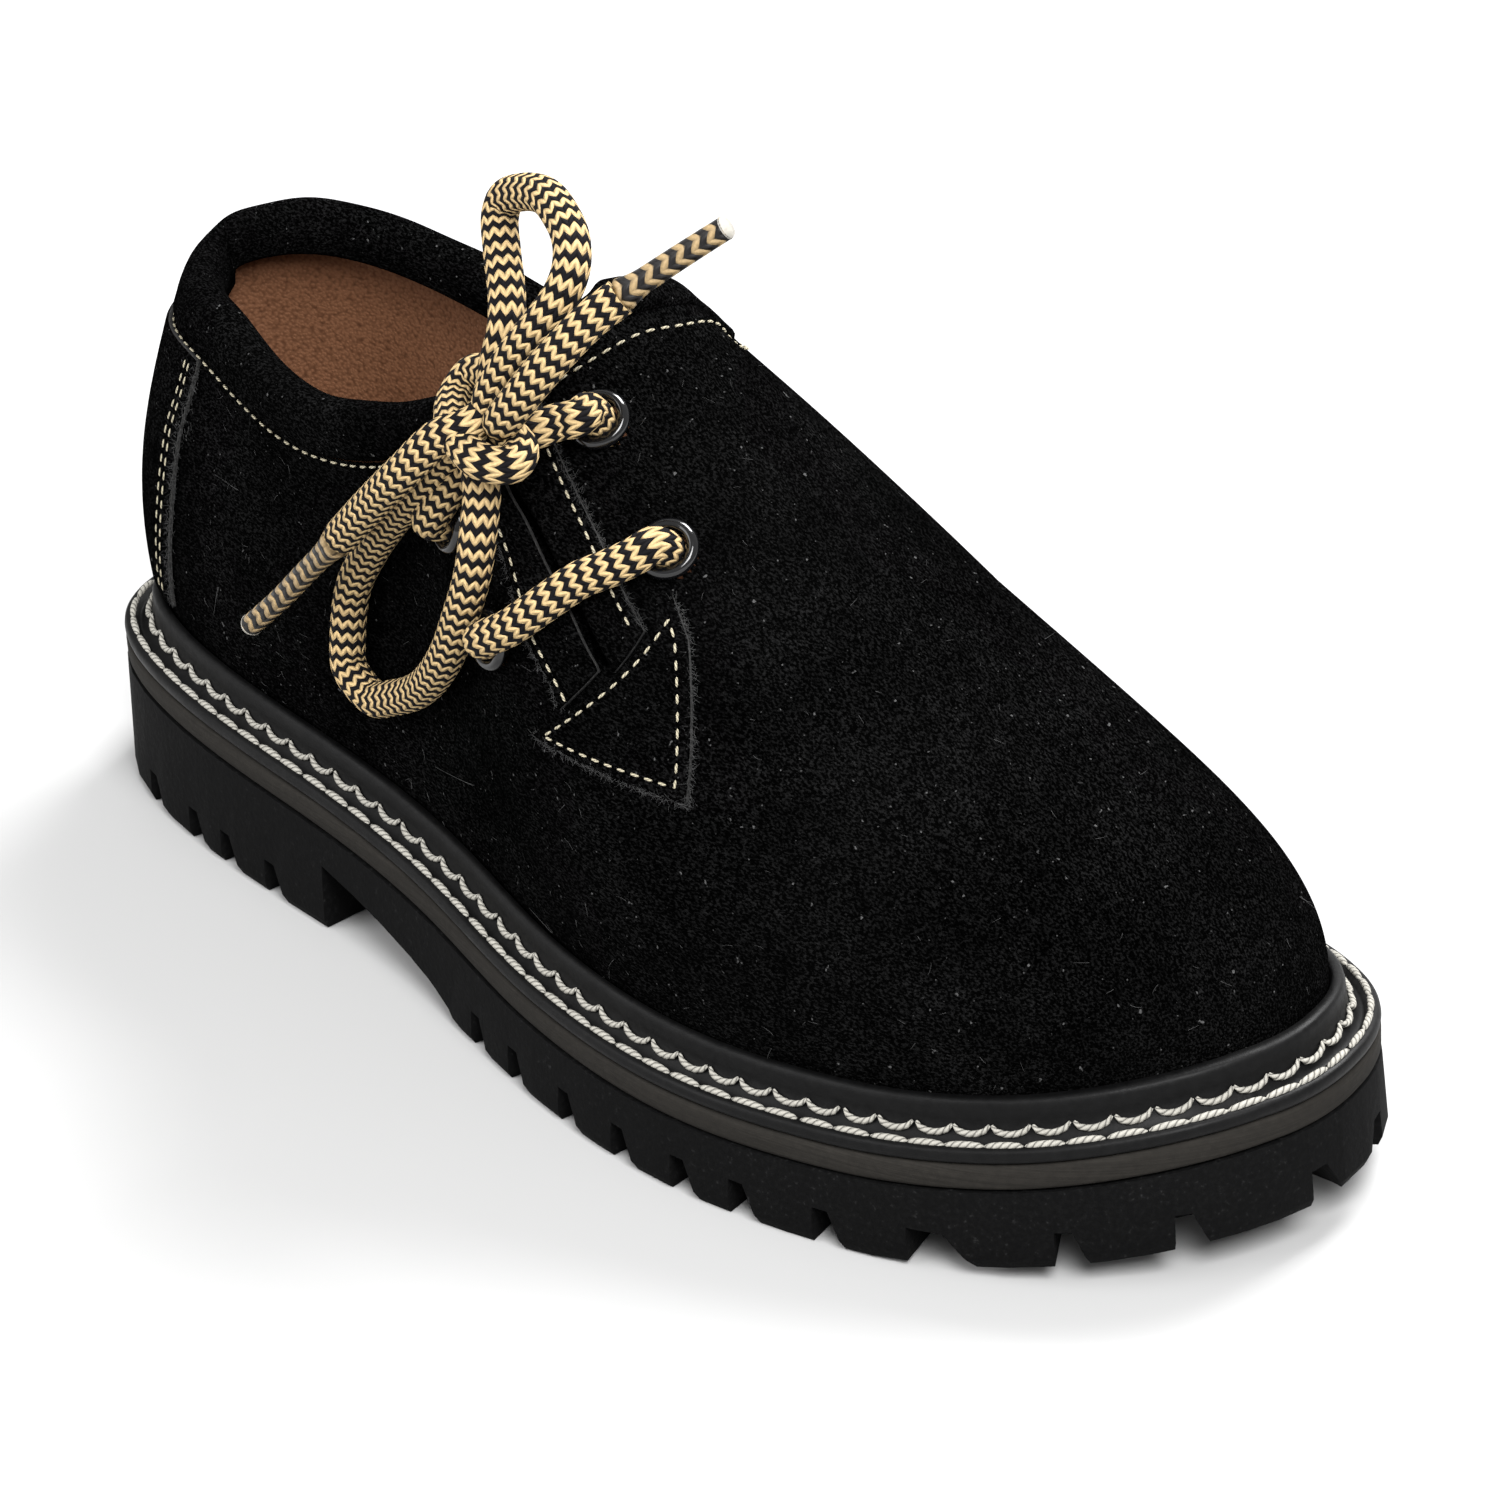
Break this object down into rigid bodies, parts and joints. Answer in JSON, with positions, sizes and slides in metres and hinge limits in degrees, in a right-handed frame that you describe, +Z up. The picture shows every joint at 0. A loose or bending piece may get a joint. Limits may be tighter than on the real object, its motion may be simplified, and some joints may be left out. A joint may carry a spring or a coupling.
{
  "type": "shoe",
  "caption": "Side-laced haferl shoe for the right foot: black suede upper, padded collar, tan and black woven lace in a bow, storm welt, lugged rubber sole",
  "frame": {"origin": "middle of the shoe's box at the floor, under the outsole, without the free lace", "axes": "+X points to the toe and is the longest way, +Y points to the left, the inner (medial) side of this right shoe, and +Z points up"},
  "size_m": [0.2405, 0.0938, 0.136],
  "materials": {
    "rubber_black": "matte",
    "midsole_grey": "matte",
    "welt_black": "satin",
    "leather_cognac": "satin",
    "suede_black": "matte suede",
    "eyelet_black": "gloss",
    "lace_weave": "woven zigzag",
    "aglet_clear": "gloss"
  },
  "bodies": {
    "root": {"outsole": "rubber_black", "midsole": "midsole_grey", "welt": "welt_black", "insole": "leather_cognac", "upper": "suede_black", "collar": "suede_black", "tongue": "suede_black", "heel_stay": "suede_black", "facing_front": "suede_black", "facing_rear": "suede_black", "corner_patch": "suede_black", "eyelet_front_upper": "eyelet_black", "eyelet_front_lower": "eyelet_black", "eyelet_rear_upper": "eyelet_black", "eyelet_rear_lower": "eyelet_black", "lace_bar": "lace_weave", "lace_front": "lace_weave", "lace_rear": "lace_weave", "lace_knot": "lace_weave", "loop_upper": "lace_weave", "loop_lower": "lace_weave", "end_upper": "lace_weave", "end_lower": "lace_weave", "aglet_upper": "aglet_clear", "aglet_lower": "aglet_clear"}
  },
  "joints": []
}
